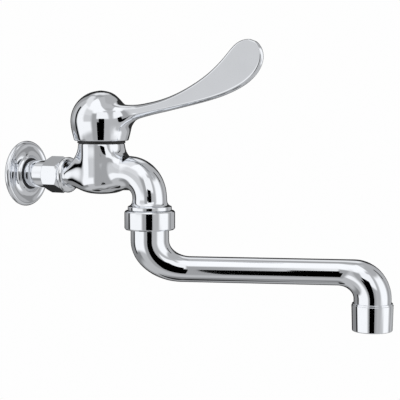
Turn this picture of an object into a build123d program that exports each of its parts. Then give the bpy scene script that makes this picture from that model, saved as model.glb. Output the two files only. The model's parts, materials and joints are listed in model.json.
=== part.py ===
from build123d import *
import math
import os

# Wall-mounted lever sink faucet, in millimetres
# The origin is the centre of the wall flange's back face, on the inlet axis
# +X runs out of the wall along the inlet, +Z is up
# The rest pose has the lever closed, in line with the body, and the spout swung to one side

# Clearances
running_fit = 0.05
disc_gap = 0.05
turning_gap = 0.3
thread_slack = 0.05

# Axes of the two joints, measured from the wall
valve_x = 78.0
outlet_x = 124.0
spout_heading = 22.0
lever_travel = 90.0

# Wall flange
flange_r = 27.0
flange_depth = 7.0
flange_rim_depth = 4.2
flange_rim_roll = 2.4
flange_dish_r = 20.5
flange_dish_depth = 3.4
flange_hub_r = 13.7
flange_bore_r = 12.8
flange_web_back = 1.7
flange_web_front = 3.2
flange_back_land = 2.2
flange_pipe_gap = 0.4

# Inlet extension: pipe, hexagon and both threads
inlet_thread_r = 10.4775
wall_thread_length = 14.0
thread_chamfer = 1.0
pipe_r = 11.2
waterway_r = 7.5
hex_start = 26.0
hex_end = 42.1
hex_flats = 26.0
hex_corner_cut = 2.3
hex_face_land = 12.9
socket_depth = 12.6
washer_thick = 2.0
strainer_wall = 0.5
strainer_depth = 6.0
strainer_r = 7.0
strainer_rim_r = 9.0

# Body: inlet side
collar_gap = 0.4
collar_length = 6.9
collar_start_r = 13.6
collar_crown_r = 14.5
collar_crown_at = 2.0
collar_end_r = 12.5
neck_r = 11.3
neck_blend_r = 9.0

# Body: valve chamber
chamber_r = 18.7
chamber_top = 31.0
chamber_side_bottom = -3.0
belly_r = 13.5
belly_edge = -11.4
belly_bottom = -14.2
seat_z = 1.5
seat_hole_r = 4.5
cavity_r = 12.4
bonnet_thread_r = 13.0
bonnet_thread_bottom = 17.0
seal_pocket_r = 15.0
seal_pocket_depth = 1.6
inlet_gallery_z = -5.2
inlet_gallery_r = 4.5
inlet_bore_r = 6.0
inlet_bore_end = 59.0

# Body: outlet side
outlet_wall = 1.65
outlet_tube_z = 3.2
outlet_bend_r = 18.6
outlet_bore_r = 9.5
outlet_bore_start = 86.0
outlet_blend_r = 5.0
outlet_joint_from = 5.0
outlet_flare_top = -17.6
outlet_flare_bottom = -22.4
outlet_collar_cover = 0.25
outlet_collar_bottom = -25.2
nut_thread_bottom = -32.5
socket_top = -16.5

# Spout nut
nut_wall = 2.9
nut_top = -25.5
nut_bottom = -40.5
nut_chamfer = 1.2
nut_lip_thick = 3.1
nut_bore_gap = 0.15

# Spout
spout_reach = 174.0
leg_r = 15.1
arm_r = 10.15
mouth_leg_r = 14.5
arm_z = -71.3
first_bend_top = -49.1
second_bend_bottom = -91.4
first_outer_run = 25.4
first_inner_run = 32.3
second_outer_run = 13.9
second_inner_run = 26.8
bend_steps = 5
bend_leads = (1.0, 2.5)
spout_wall = 1.7
socket_step = 3.15
spigot_wall = 2.9
shoulder_gap = 0.3
retainer_lip = 1.6
retainer_thick = 2.0
retainer_depth = 1.5
retainer_overhang = 1.5
retainer_nut_gap = 0.4
bearing_washer_thick = 1.0
spout_seal_section = 1.6
spout_seal_width = 2.0
spout_seal_at = (-20.0, -28.0)
mouth_thread_step = 0.5
mouth_wall = 2.0

# Aerator
housing_top = -94.5
housing_bottom = -116.0
housing_cover = 1.6
housing_taper = 0.6
housing_edge = 0.8
housing_step_drop = 1.3
housing_step_in = 0.5
housing_lip_thick = 1.5
housing_lip_width = 2.5
mouth_thread_length = 8.0
gasket_thick = 2.0
regulator_thick = 2.2
regulator_holes = 8
regulator_hole_r = 0.9
regulator_ring_r = 5.5
insert_wall = 1.4
insert_rib = 0.5
insert_cell = 2.6
insert_grid_height = 2.4
screen_thick = 0.35
screen_pitch = 1.9
screen_wire = 0.45
screen_spacing = 1.6
screen_count = 3

# Valve bonnet
bonnet_skirt_r = 10.6
bonnet_skirt_wall = 1.5
bonnet_skirt_bottom = 2.0
bonnet_ceiling = 15.3
bonnet_window_bottom = 7.2
bonnet_window_top = 12.0
bonnet_window_width = 10.0
bonnet_hex_flats = 30.0
bonnet_hex_height = 6.0
bonnet_neck_r = 8.5
bonnet_neck_top = 44.0
key_width = 3.0
key_side_gap = 0.05
key_length = 1.2

# Ceramic discs and seat seal
disc_r = 9.0
disc_thick = 3.0
disc_port_r = 2.6
disc_port_at = 4.9
seal_wall = 1.1
seal_height = 2.0

# Spindle
stem_r = 5.0
plate_r = 8.8
plate_thick = 3.0
boss_r = 6.3
boss_height = 2.3
prong_width = 3.0
prong_depth = 1.6
prong_length = 1.5
lug_angle = 60.0
stop_slack_angle = 1.0
stem_seal_section = 1.3
stem_seal_width = 1.7
stem_seal_at = (25.0, 35.0)
clip_thick = 1.0
clip_groove_r = 4.0
clip_r = 6.4
clip_lift = 0.4
clip_mouth = 5.0
square_size = 7.0
square_bottom = 46.5
square_top = 58.0

# Lever handle, heights from the inlet axis and lengths from the valve axis
cap_r = 24.7
cap_centre_z = 44.0
cap_skirt_r = 21.8
cap_skirt_z = 28.5
cap_skirt_bow = 23.95
cap_skirt_bow_z = 35.6
cap_wall = 2.5
cap_skirt_wall = 2.0
boss_outer_r = 9.0
bush_r = 6.0
bush_bottom = 47.0
bush_top = 60.0
bush_square_gap = 0.05
screw_z = 52.0
screw_r = 2.5
screw_length = 6.0
screw_socket_flats = 2.5
screw_socket_depth = 3.0
plug_r = 3.2
plug_depth = 2.6

# Pairs of points on the lever's top and lower edge, with the blade's thickness between them
lever_stations = (
    ((12.0, 59.6), (12.0, 44.6), 14.6),
    ((20.5, 58.9), (23.0, 43.6), 13.4),
    ((28.9, 57.6), (31.2, 43.9), 12.2),
    ((36.0, 57.8), (38.5, 45.8), 11.0),
    ((45.7, 59.1), (49.0, 48.6), 9.6),
    ((58.1, 61.5), (62.3, 51.2), 8.4),
    ((72.3, 66.3), (80.0, 55.2), 7.3),
    ((86.6, 73.2), (96.0, 58.7), 6.5),
    ((97.3, 79.6), (110.0, 62.4), 6.0),
    ((105.2, 85.7), (122.4, 66.9), 5.7),
    ((111.6, 91.5), (134.0, 72.7), 5.5),
    ((116.6, 96.6), (142.4, 80.6), 5.4),
    ((121.0, 101.0), (146.1, 88.8), 5.2),
    ((126.0, 104.5), (146.0, 95.2), 5.0),
    ((130.6, 106.0), (143.8, 100.0), 4.7),
    ((134.6, 106.2), (140.6, 103.4), 4.2),
)

# Sizes that follow from the ones above
retainer_r = leg_r + retainer_overhang
nut_thread_r = retainer_r + retainer_nut_gap
nut_r = nut_thread_r + nut_wall
outlet_collar_r = nut_thread_r + outlet_collar_cover
socket_r = leg_r - socket_step
outlet_tube_r = socket_r + outlet_wall
spigot_r = socket_r - running_fit
spigot_bore_r = spigot_r - spigot_wall
mouth_thread_r = mouth_leg_r - mouth_thread_step
mouth_bore_r = mouth_thread_r - mouth_wall
housing_top_r = mouth_leg_r + housing_cover
housing_bottom_r = housing_top_r - housing_taper
housing_mouth_r = mouth_thread_r - housing_lip_width
retainer_top = nut_thread_bottom - shoulder_gap - retainer_lip
retainer_bottom = retainer_top - retainer_thick
nut_lip_top = nut_bottom + nut_lip_thick
skirt_inner_r = bonnet_skirt_r - bonnet_skirt_wall
fixed_disc_bottom = seat_z + seal_height
fixed_disc_top = fixed_disc_bottom + disc_thick
moving_disc_bottom = fixed_disc_top + disc_gap
moving_disc_top = moving_disc_bottom + disc_thick
plate_top = moving_disc_top + plate_thick
boss_top = plate_top + boss_height
bonnet_hex_bottom = chamber_top
bonnet_hex_top = bonnet_hex_bottom + bonnet_hex_height
stem_bore_r = stem_r + running_fit
mouth_thread_bottom = housing_top - mouth_thread_length
gasket_bottom = mouth_thread_bottom - gasket_thick
regulator_bottom = gasket_bottom - regulator_thick
insert_bottom = housing_bottom + housing_lip_thick
insert_r = mouth_thread_r - turning_gap
collar_start = hex_end + collar_gap
neck_start = collar_start + collar_length
hex_socket_end = hex_end - socket_depth
spigot_start = hex_socket_end + washer_thick


def flat_outline(*edges):
    """A face in the upright plane through the inlet axis."""
    return Plane.XZ * make_face(edges)


def turned_z(*points, at=0.0):
    """A solid turned about an upright axis, from corners as (radius, height)."""
    return Pos(at, 0, 0) * revolve(flat_outline(*Polyline(*points, close=True).edges()), Axis.Z)


def turned_x(*points):
    """A solid turned about the inlet axis, from corners as (distance from the wall, radius)."""
    return revolve(flat_outline(*Polyline(*points, close=True).edges()), Axis.X)


def tube_z(outer, inner, bottom, top, at=0.0):
    """An upright ring."""
    return turned_z((inner, bottom), (outer, bottom), (outer, top), (inner, top), at=at)


def disc_z(radius, bottom, top, at=0.0):
    """An upright round bar."""
    return tube_z(radius, 0, bottom, top, at=at)


def bar_x(radius, start, end, z=0.0):
    """A round bar along the inlet direction."""
    return Pos(0, 0, z) * turned_x((start, 0), (end, 0), (end, radius), (start, radius))


def seal_ring(centre_r, section, z, at=0.0):
    """A round-section rubber ring about an upright axis."""
    return Pos(at, 0, z) * Torus(centre_r, section / 2)


def block(size_x, size_y, bottom, top, x=0.0, y=0.0):
    """A box with its middle at x and y."""
    return Pos(x, y, (bottom + top) / 2) * Box(size_x, size_y, top - bottom)


def sector(outer, inner, bottom, top, start_angle, angle):
    """Part of an upright ring, from start_angle on."""
    corners = ((inner, bottom), (outer, bottom), (outer, top), (inner, top))
    face = flat_outline(*Polyline(*corners, close=True).edges())
    return Rot(0, 0, start_angle) * revolve(face, Axis.Z, revolution_arc=angle)


# Inlet side

def wall_flange():
    back_r = flange_r - 0.8
    rim_crest_r = flange_r - flange_rim_roll
    rim = ThreePointArc((0, back_r), (flange_rim_depth / 2, flange_r), (flange_rim_depth, rim_crest_r))
    dish = Spline(
        rim @ 1,
        (flange_dish_depth, flange_dish_r),
        (flange_dish_depth + 1.3, (flange_dish_r + flange_hub_r) / 2 - 0.9),
        (flange_depth, flange_hub_r),
        tangents=[rim % 1, (1, -0.15)],
    )
    inside = Polyline(
        dish @ 1,
        (flange_depth, flange_bore_r),
        (flange_web_front, flange_bore_r),
        (flange_web_front, pipe_r + flange_pipe_gap),
        (flange_web_back, pipe_r + flange_pipe_gap),
        (flange_web_back, back_r - flange_back_land - 1.0),
        (0, back_r - flange_back_land),
        (0, back_r),
    )
    return revolve(flat_outline(rim, dish, *inside.edges()), Axis.X)


def flange_grip_ring():
    return turned_x(
        (flange_web_front, pipe_r),
        (flange_depth - 0.9, pipe_r),
        (flange_depth - 0.9, flange_bore_r - 0.4),
        (flange_depth - 1.3, flange_bore_r),
        (flange_web_front, flange_bore_r),
    )


def inlet_extension():
    round_bar = turned_x(
        (-wall_thread_length, 0),
        (-wall_thread_length, inlet_thread_r - thread_chamfer),
        (-wall_thread_length + thread_chamfer, inlet_thread_r),
        (0, inlet_thread_r),
        (0, pipe_r),
        (hex_start + 1, pipe_r),
        (hex_start + 1, 0),
    )
    prism = Plane.YZ.offset(hex_start) * extrude(RegularPolygon(hex_flats / 2, 6, major_radius=False, rotation=30),
                                                 hex_end - hex_start)
    corner_r = hex_flats / math.sqrt(3)
    turned_ends = turned_x(
        (hex_start, 0),
        (hex_start, hex_face_land),
        (hex_start + hex_corner_cut, corner_r),
        (hex_end - hex_corner_cut, corner_r),
        (hex_end, hex_face_land),
        (hex_end, 0),
    )
    outside = round_bar + (prism & turned_ends)
    waterway = bar_x(waterway_r, -wall_thread_length, hex_end)
    socket = bar_x(inlet_thread_r, hex_socket_end, hex_end)
    return outside - waterway - socket


def inlet_washer():
    rim_seat = strainer_wall
    return turned_x(
        (hex_socket_end + rim_seat, waterway_r),
        (hex_socket_end + rim_seat, inlet_thread_r - 0.2),
        (spigot_start, inlet_thread_r - 0.2),
        (spigot_start, waterway_r),
    )


def inlet_strainer():
    rim = turned_x(
        (hex_socket_end, strainer_r - strainer_wall),
        (hex_socket_end + strainer_wall, strainer_r - strainer_wall),
        (hex_socket_end + strainer_wall, strainer_rim_r),
        (hex_socket_end, strainer_rim_r),
    )
    cup_start = hex_socket_end - strainer_depth
    cup = turned_x(
        (cup_start, 0),
        (cup_start, strainer_r - 0.4),
        (hex_socket_end + strainer_wall, strainer_r),
        (hex_socket_end + strainer_wall, strainer_r - strainer_wall),
        (cup_start + strainer_wall, strainer_r - strainer_wall - 0.4),
        (cup_start + strainer_wall, 0),
    )
    slots = [
        Pos(cup_start + strainer_depth / 2, 0, 0) * Rot(30 * turn, 0, 0) * Box(strainer_depth - 2.4, 1.2, 4 * strainer_r)
        for turn in range(6)
    ]
    mesh = [Pos(cup_start, y, z) * Box(3, 1.0, 1.0) for y in (-3, -1, 1, 3) for z in (-3, -1, 1, 3)]
    return rim + cup - slots - mesh


# Body

def collar_outline():
    crown = ThreePointArc(
        (collar_start, collar_start_r),
        (collar_start + collar_crown_at, collar_crown_r),
        (neck_start, collar_end_r),
    )
    rest = Polyline(crown @ 1, (neck_start, 0), (collar_start, 0), (collar_start, collar_start_r))
    return flat_outline(crown, *rest.edges())


def chamber_outline():
    shoulder = TangentArc((chamber_r, chamber_side_bottom), (belly_r, belly_edge), tangent=(0, -1))
    belly = TangentArc((0, belly_bottom), (belly_r, belly_edge), tangent=(1, 0))
    rest = Polyline((0, belly_bottom), (0, chamber_top), (chamber_r, chamber_top), (chamber_r, chamber_side_bottom))
    return flat_outline(shoulder, belly, *rest.edges())


def outlet_path(start):
    """The outlet's centreline: level, then down to the collar."""
    bend_start = outlet_x - outlet_bend_r
    level = Line((start, outlet_tube_z), (bend_start, outlet_tube_z))
    bend = JernArc(level @ 1, level % 1, outlet_bend_r, -90)
    drop = Line(bend @ 1, (outlet_x, outlet_flare_bottom))
    return Plane.XZ * (level + bend + drop)


def outlet_tube(radius, start):
    path = outlet_path(start)
    return sweep(Plane(origin=(start, 0, outlet_tube_z), z_dir=(1, 0, 0)) * Circle(radius), path=path)


def outlet_collar():
    flare = ThreePointArc(
        (outlet_tube_r, outlet_flare_top),
        (outlet_tube_r + 1.0, (outlet_flare_top + outlet_flare_bottom) / 2 - 0.4),
        (outlet_collar_r, outlet_flare_bottom - 0.6),
    )
    rest = Polyline(
        flare @ 1,
        (outlet_collar_r, outlet_collar_bottom),
        (nut_thread_r, outlet_collar_bottom),
        (nut_thread_r, nut_thread_bottom),
        (0, nut_thread_bottom),
        (0, outlet_flare_top),
        (outlet_tube_r, outlet_flare_top),
    )
    return Pos(outlet_x, 0, 0) * revolve(flat_outline(flare, *rest.edges()), Axis.Z)


def joint_edges(solid, low_x, high_x, least_width):
    """Edges where two round forms meet between two distances from the wall."""
    found = []
    for edge in solid.edges():
        box = edge.bounding_box()
        if box.min.X > low_x and box.max.X < high_x and box.size.Y > least_width and box.size.Z > least_width / 2:
            found.append(edge)
    return found


def body_outside():
    chamber = Pos(valve_x, 0, 0) * revolve(chamber_outline(), Axis.Z)
    neck = bar_x(neck_r, neck_start, valve_x)
    blended = fillet(joint_edges(chamber + neck, neck_start + 1, valve_x, neck_r), neck_blend_r)
    with_outlet = blended + outlet_tube(outlet_tube_r, valve_x)
    blended = fillet(joint_edges(with_outlet, valve_x + outlet_joint_from, outlet_x - outlet_bend_r, neck_r / 2), outlet_blend_r)
    spigot = bar_x(inlet_thread_r - thread_slack, spigot_start, neck_start)
    return blended + revolve(collar_outline(), Axis.X) + spigot + outlet_collar()


def faucet_body():
    seal_pocket_bottom = chamber_top - seal_pocket_depth
    hollow = [
        disc_z(cavity_r, seat_z, chamber_top, at=valve_x),
        disc_z(bonnet_thread_r, bonnet_thread_bottom, chamber_top, at=valve_x),
        disc_z(seal_pocket_r, seal_pocket_bottom, chamber_top, at=valve_x),
        disc_z(seat_hole_r, inlet_gallery_z, seat_z, at=valve_x),
        bar_x(inlet_gallery_r, inlet_bore_end - 1, valve_x + inlet_gallery_r, z=inlet_gallery_z),
        bar_x(inlet_bore_r, spigot_start, inlet_bore_end),
        outlet_tube(outlet_bore_r, outlet_bore_start),
        disc_z(socket_r, nut_thread_bottom, socket_top, at=outlet_x),
    ]
    return body_outside() - hollow


def spout_nut():
    return turned_z(
        (leg_r + nut_bore_gap, nut_bottom),
        (nut_r - nut_chamfer, nut_bottom),
        (nut_r, nut_bottom + nut_chamfer),
        (nut_r, nut_top - nut_chamfer),
        (nut_r - nut_chamfer, nut_top),
        (nut_thread_r + thread_slack, nut_top),
        (nut_thread_r + thread_slack, nut_lip_top),
        (leg_r + nut_bore_gap, nut_lip_top),
        at=outlet_x,
    )


# Valve

def valve_bonnet():
    seal_pocket_bottom = chamber_top - seal_pocket_depth
    thread_r = bonnet_thread_r - thread_slack
    solid = turned_z(
        (stem_bore_r, bonnet_ceiling),
        (skirt_inner_r, bonnet_ceiling),
        (skirt_inner_r, bonnet_skirt_bottom),
        (bonnet_skirt_r, bonnet_skirt_bottom),
        (bonnet_skirt_r, bonnet_thread_bottom),
        (thread_r, bonnet_thread_bottom + 0.3),
        (thread_r, seal_pocket_bottom),
        (thread_r, bonnet_hex_bottom),
        (bonnet_neck_r, bonnet_hex_bottom),
        (bonnet_neck_r, bonnet_neck_top),
        (stem_bore_r, bonnet_neck_top),
    )
    hexagon = extrude(Plane.XY.offset(bonnet_hex_bottom) * RegularPolygon(bonnet_hex_flats / 2, 6, major_radius=False),
                      bonnet_hex_height)
    turned_corners = turned_z(
        (stem_bore_r, bonnet_hex_bottom),
        (bonnet_hex_flats / 2 + 2.3, bonnet_hex_bottom),
        (bonnet_hex_flats / 2 + 2.3, bonnet_hex_top - 1.2),
        (bonnet_hex_flats / 2 - 0.2, bonnet_hex_top),
        (stem_bore_r, bonnet_hex_top),
    )
    solid += hexagon & turned_corners
    window_height = (bonnet_window_bottom, bonnet_window_top)
    solid -= block(bonnet_window_width, 4 * bonnet_skirt_r, *window_height)
    slot_width = key_width + 2 * key_side_gap
    solid -= block(4 * bonnet_skirt_r, slot_width, bonnet_skirt_bottom, fixed_disc_top)
    stop_start = lever_travel + lug_angle / 2 + stop_slack_angle
    stop_angle = 360 - lever_travel - lug_angle - 2 * stop_slack_angle
    stop = sector(skirt_inner_r + 0.5, boss_r + turning_gap, plate_top + turning_gap, bonnet_ceiling + 0.5,
                  stop_start, stop_angle)
    return Pos(valve_x, 0, 0) * (solid + stop)


def bonnet_o_ring():
    section = seal_pocket_depth
    return seal_ring(seal_pocket_r - section / 2, section, chamber_top - section / 2, at=valve_x)


def seat_seal():
    outer = skirt_inner_r - key_side_gap
    return tube_z(outer, outer - seal_wall, seat_z, fixed_disc_bottom, at=valve_x)


def ports(bottom, top, first_angle):
    """Two round ports opposite each other."""
    return [
        Rot(0, 0, first_angle + half) * Pos(disc_port_at, 0, 0) * disc_z(disc_port_r, bottom - 1, top + 1)
        for half in (0, 180)
    ]


def fixed_disc():
    solid = disc_z(disc_r, fixed_disc_bottom, fixed_disc_top)
    solid += block(2 * (disc_r + key_length), key_width, fixed_disc_bottom, fixed_disc_top)
    return Pos(valve_x, 0, 0) * (solid - ports(fixed_disc_bottom, fixed_disc_top, 90))


def prong_notches(gap):
    """Two rectangular bars at the disc's rim, across the lever's direction."""
    width = prong_width + 2 * gap
    depth = prong_depth + gap
    middle = disc_r + 1 - (depth + 1 + disc_r - plate_r) / 2
    length = depth + 1 + disc_r - plate_r
    return [
        block(width, length, moving_disc_top - prong_length - gap, moving_disc_top + 1, y=side * middle)
        for side in (-1, 1)
    ]


def moving_disc():
    solid = disc_z(disc_r - 0.2, moving_disc_bottom, moving_disc_top)
    solid -= ports(moving_disc_bottom, moving_disc_top, 90 - lever_travel)
    return Pos(valve_x, 0, 0) * (solid - prong_notches(key_side_gap))


def valve_spindle():
    clip_bottom = bonnet_neck_top + clip_lift
    solid = turned_z(
        (0, moving_disc_top),
        (plate_r, moving_disc_top),
        (plate_r, plate_top),
        (boss_r, plate_top),
        (boss_r, boss_top),
        (stem_r, boss_top),
        (stem_r, clip_bottom),
        (clip_groove_r, clip_bottom),
        (clip_groove_r, clip_bottom + clip_thick),
        (stem_r, clip_bottom + clip_thick),
        (stem_r, square_bottom),
        (0, square_bottom),
    )
    solid += block(square_size, square_size, square_bottom - 0.5, square_top)
    solid += sector(plate_r, boss_r - 0.5, plate_top - 0.5, boss_top, -lug_angle / 2, lug_angle)
    lengths = (moving_disc_top - prong_length, plate_top - 1)
    prongs = [block(prong_width, prong_depth, *lengths, y=side * (plate_r - prong_depth / 2)) for side in (-1, 1)]
    solid += [prong & disc_z(plate_r, *lengths) for prong in prongs]
    for middle in stem_seal_at:
        half = stem_seal_width / 2
        solid -= tube_z(stem_r + 1, stem_r - stem_seal_section, middle - half, middle + half)
    return Pos(valve_x, 0, 0) * solid


def spindle_o_ring(middle):
    return seal_ring(stem_r - stem_seal_section / 2, stem_seal_section, middle, at=valve_x)


def glide_washer():
    return tube_z(boss_r, stem_bore_r, boss_top, bonnet_ceiling - disc_gap, at=valve_x)


def spindle_clip():
    bottom = bonnet_neck_top + clip_lift
    ring = tube_z(clip_r, clip_groove_r, bottom, bottom + clip_thick)
    mouth = block(2 * clip_r, clip_mouth, bottom - 1, bottom + clip_thick + 1, x=-clip_r)
    return Pos(valve_x, 0, 0) * (ring - mouth)


# Lever handle

def cap_solid(shrink, skirt_shrink, bottom):
    """The cap's round form, smaller all over by shrink, and by skirt_shrink at the skirt's edge."""
    radius = cap_r - shrink
    crown = ThreePointArc(
        (radius, cap_centre_z),
        (radius * math.cos(math.pi / 4), cap_centre_z + radius * math.sin(math.pi / 4)),
        (0, cap_centre_z + radius),
    )
    skirt = ThreePointArc(
        (cap_skirt_r - skirt_shrink, bottom),
        (cap_skirt_bow - (shrink + skirt_shrink) / 2, cap_skirt_bow_z),
        (radius, cap_centre_z),
    )
    rest = Polyline((0, cap_centre_z + radius), (0, bottom), (cap_skirt_r - skirt_shrink, bottom))
    return revolve(flat_outline(crown, skirt, *rest.edges()), Axis.Z)


def lever_section(top, low, thickness):
    """A slot-shaped section of the lever between a point on its top edge and one on its lower edge."""
    rise = Vector(top[0] - low[0], 0, top[1] - low[1])
    middle = ((top[0] + low[0]) / 2, 0, (top[1] + low[1]) / 2)
    across = Plane(origin=middle, x_dir=rise, z_dir=rise.cross(Vector(0, 1, 0)))
    return across * SlotOverall(rise.length, thickness)


def screw_hole(radius, start, end):
    """A round bar towards the wall at the height of the set screw."""
    return bar_x(radius, -end, -start, z=screw_z)


def lever_handle():
    lever = loft([lever_section(*station) for station in lever_stations])
    outside = cap_solid(0, 0, cap_skirt_z)
    inside = cap_solid(cap_wall, cap_skirt_wall, cap_skirt_z - 1)
    solid = outside + lever - inside
    inner_r = cap_r - cap_wall
    boss = tube_z(boss_outer_r, bush_r, bush_bottom, cap_centre_z + inner_r) & cap_solid(0.5, 0.5, cap_skirt_z)
    solid += boss + disc_z(boss_outer_r, bush_top, cap_centre_z + inner_r - 1)
    solid -= screw_hole(screw_r, 0, boss_outer_r + 1)
    solid -= screw_hole(plug_r, inner_r * 0.8, cap_r + 1)
    return Pos(valve_x, 0, 0) * solid


def handle_bush():
    solid = disc_z(bush_r, bush_bottom, bush_top)
    hole = square_size + 2 * bush_square_gap
    solid -= block(hole, hole, bush_bottom - 1, square_top + 0.3)
    solid -= screw_hole(screw_r + 0.1, 0, bush_r + 1)
    return Pos(valve_x, 0, 0) * solid


def handle_screw():
    start = square_size / 2
    end = start + screw_length
    solid = screw_hole(screw_r, start, end)
    wrench = Plane.YZ * RegularPolygon(screw_socket_flats / 2, 6, major_radius=False)
    socket = Pos(-end, 0, screw_z) * extrude(wrench, screw_socket_depth)
    return Pos(valve_x, 0, 0) * (solid - socket)


def screw_plug():
    shell = cap_solid(0, 0, cap_skirt_z) - cap_solid(plug_depth, plug_depth, cap_skirt_z - 1)
    return Pos(valve_x, 0, 0) * (shell & screw_hole(plug_r, 0, cap_r + 1))


# Spout, modelled along +X and then turned to its heading

def spout_section(low, high):
    """A round section across the spout between its two edge points."""
    across = Vector(high[0] - low[0], 0, high[1] - low[1])
    middle = ((low[0] + high[0]) / 2, 0, (low[1] + high[1]) / 2)
    plane = Plane(origin=middle, x_dir=across, z_dir=across.cross(Vector(0, 1, 0)))
    return plane * Circle(across.length / 2)


def bend_edge(start_x, curve_end_x, end_x, drop, share):
    """A point on a quarter ellipse that starts downwards, followed by a level run, at a share of the whole."""
    curve_share = (curve_end_x - start_x) / (end_x - start_x)
    angle = math.pi / 2 * min(1.0, share / curve_share)
    x = curve_end_x - (curve_end_x - start_x) * math.cos(angle)
    if share > curve_share:
        x += (end_x - curve_end_x) * (share - curve_share) / (1 - curve_share)
    return x, -drop * math.sin(angle)


def spout_bend(leg, arm, outer_run, inner_run, drop):
    """A bend from an upright leg down to a level arm along +X, with a short straight at each end."""
    sections = [spout_section((-leg, lead), (leg, lead)) for lead in reversed(bend_leads)]
    for step in range(bend_steps + 1):
        share = step / bend_steps
        outer = bend_edge(-leg, outer_run, inner_run, drop + arm, share)
        inner = bend_edge(leg, inner_run, inner_run, drop - arm, share)
        sections.append(spout_section(outer, inner))
    for lead in bend_leads:
        sections.append(spout_section((inner_run + lead, -drop - arm), (inner_run + lead, -drop + arm)))
    return loft(sections)


def spout_form(inset, leg_top, mouth_end):
    """The spout's round form between two heights, moved in by inset."""
    leg = leg_r - inset
    arm = arm_r - inset
    mouth = mouth_leg_r - inset
    lead = bend_leads[-1]
    first = spout_bend(leg, arm, first_outer_run, first_inner_run, first_bend_top - arm_z)
    second = spout_bend(mouth, arm, second_outer_run, second_inner_run, arm_z - second_bend_bottom)
    pieces = [
        disc_z(leg, first_bend_top + lead, leg_top),
        Pos(0, 0, first_bend_top) * first,
        bar_x(arm, first_inner_run + lead, spout_reach - second_inner_run - lead, z=arm_z),
        Pos(spout_reach, 0, second_bend_bottom) * Rot(0, 180, 0) * second,
        disc_z(mouth, mouth_end, second_bend_bottom - lead, at=spout_reach),
    ]
    return pieces[0] + pieces[1:]


def placed_spout(solid):
    return Pos(outlet_x, 0, 0) * Rot(0, 0, spout_heading) * solid


def at_mouth(solid):
    return placed_spout(Pos(spout_reach, 0, 0) * solid)


def spout_tube():
    leg_top = nut_thread_bottom - shoulder_gap
    bore_bottom = nut_bottom + 1.5
    mouth = Pos(spout_reach, 0, 0)
    solid = spout_form(0, leg_top, housing_top)
    solid += disc_z(spigot_r, leg_top, socket_top - turning_gap)
    solid += mouth * disc_z(mouth_thread_r - thread_slack, mouth_thread_bottom, housing_top)
    solid -= spout_form(spout_wall, bore_bottom, housing_top)
    solid -= disc_z(spigot_bore_r, bore_bottom - 1, socket_top)
    solid -= mouth * disc_z(mouth_bore_r, mouth_thread_bottom - 1, housing_top + 1)
    solid -= tube_z(leg_r + 1, leg_r - retainer_depth, retainer_bottom, retainer_top)
    for middle in spout_seal_at:
        half = spout_seal_width / 2
        solid -= tube_z(spigot_r + 1, spigot_r - spout_seal_section, middle - half, middle + half)
    return placed_spout(solid)


def spout_o_ring(middle):
    return placed_spout(seal_ring(spigot_r - spout_seal_section / 2, spout_seal_section, middle))


def spout_split_ring():
    inner = leg_r - retainer_depth
    ring = tube_z(retainer_r, inner, retainer_bottom, retainer_top)
    split = block(retainer_r * 2, 2.0, retainer_bottom - 1, retainer_top + 1, x=-retainer_r)
    return placed_spout(ring - split)


def spout_bearing_washer():
    top = nut_lip_top + bearing_washer_thick
    return tube_z(nut_thread_r - 0.1, leg_r + nut_bore_gap, nut_lip_top, top, at=outlet_x)


# Aerator, about the upright axis of the spout's mouth

def aerator_housing():
    step_z = housing_top - housing_step_drop
    solid = turned_z(
        (mouth_leg_r + 0.1, housing_top),
        (housing_top_r - housing_step_in, housing_top),
        (housing_top_r, step_z),
        (housing_bottom_r, housing_bottom + housing_edge),
        (housing_bottom_r - housing_edge, housing_bottom),
        (housing_mouth_r, housing_bottom),
        (housing_mouth_r, housing_bottom + housing_lip_thick),
        (mouth_thread_r, housing_bottom + housing_lip_thick),
        (mouth_thread_r, step_z),
        (mouth_leg_r + 0.1, step_z),
    )
    return at_mouth(solid)


def aerator_gasket():
    return at_mouth(tube_z(mouth_thread_r - 0.2, mouth_bore_r - 1.5, gasket_bottom, mouth_thread_bottom))


def flow_regulator():
    solid = disc_z(insert_r - 0.2, regulator_bottom, gasket_bottom)
    for turn in range(regulator_holes):
        hole = Pos(regulator_ring_r, 0, 0) * disc_z(regulator_hole_r, regulator_bottom - 1, gasket_bottom + 1)
        solid -= Rot(0, 0, turn * 360 / regulator_holes) * hole
    return at_mouth(solid)


def pierced(radius, bottom, top, pitch, bar):
    """A round plate pierced by a square grid of square holes."""
    solid = disc_z(radius, bottom, top)
    reach = int(radius // pitch)
    places = [
        (x * pitch, y * pitch)
        for x in range(-reach, reach + 1)
        for y in range(-reach, reach + 1)
        if math.hypot(x * pitch, y * pitch) + pitch / 2 < radius - bar
    ]
    holes = [block(pitch - bar, pitch - bar, bottom - 1, top + 1, x=x, y=y) for x, y in places]
    return solid - holes


def aerator_insert():
    solid = tube_z(insert_r, insert_r - insert_wall, insert_bottom, regulator_bottom)
    solid += pierced(insert_r - insert_wall + 0.2, insert_bottom, insert_bottom + insert_grid_height,
                     insert_cell, insert_rib)
    return at_mouth(solid)


def aerator_screens():
    lowest = insert_bottom + insert_grid_height
    screens = [
        pierced(insert_r - insert_wall, lowest + level * screen_spacing,
                lowest + level * screen_spacing + screen_thick, screen_pitch, screen_wire)
        for level in range(screen_count)
    ]
    return at_mouth(Compound(children=[screen.solid() for screen in screens]))


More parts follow.
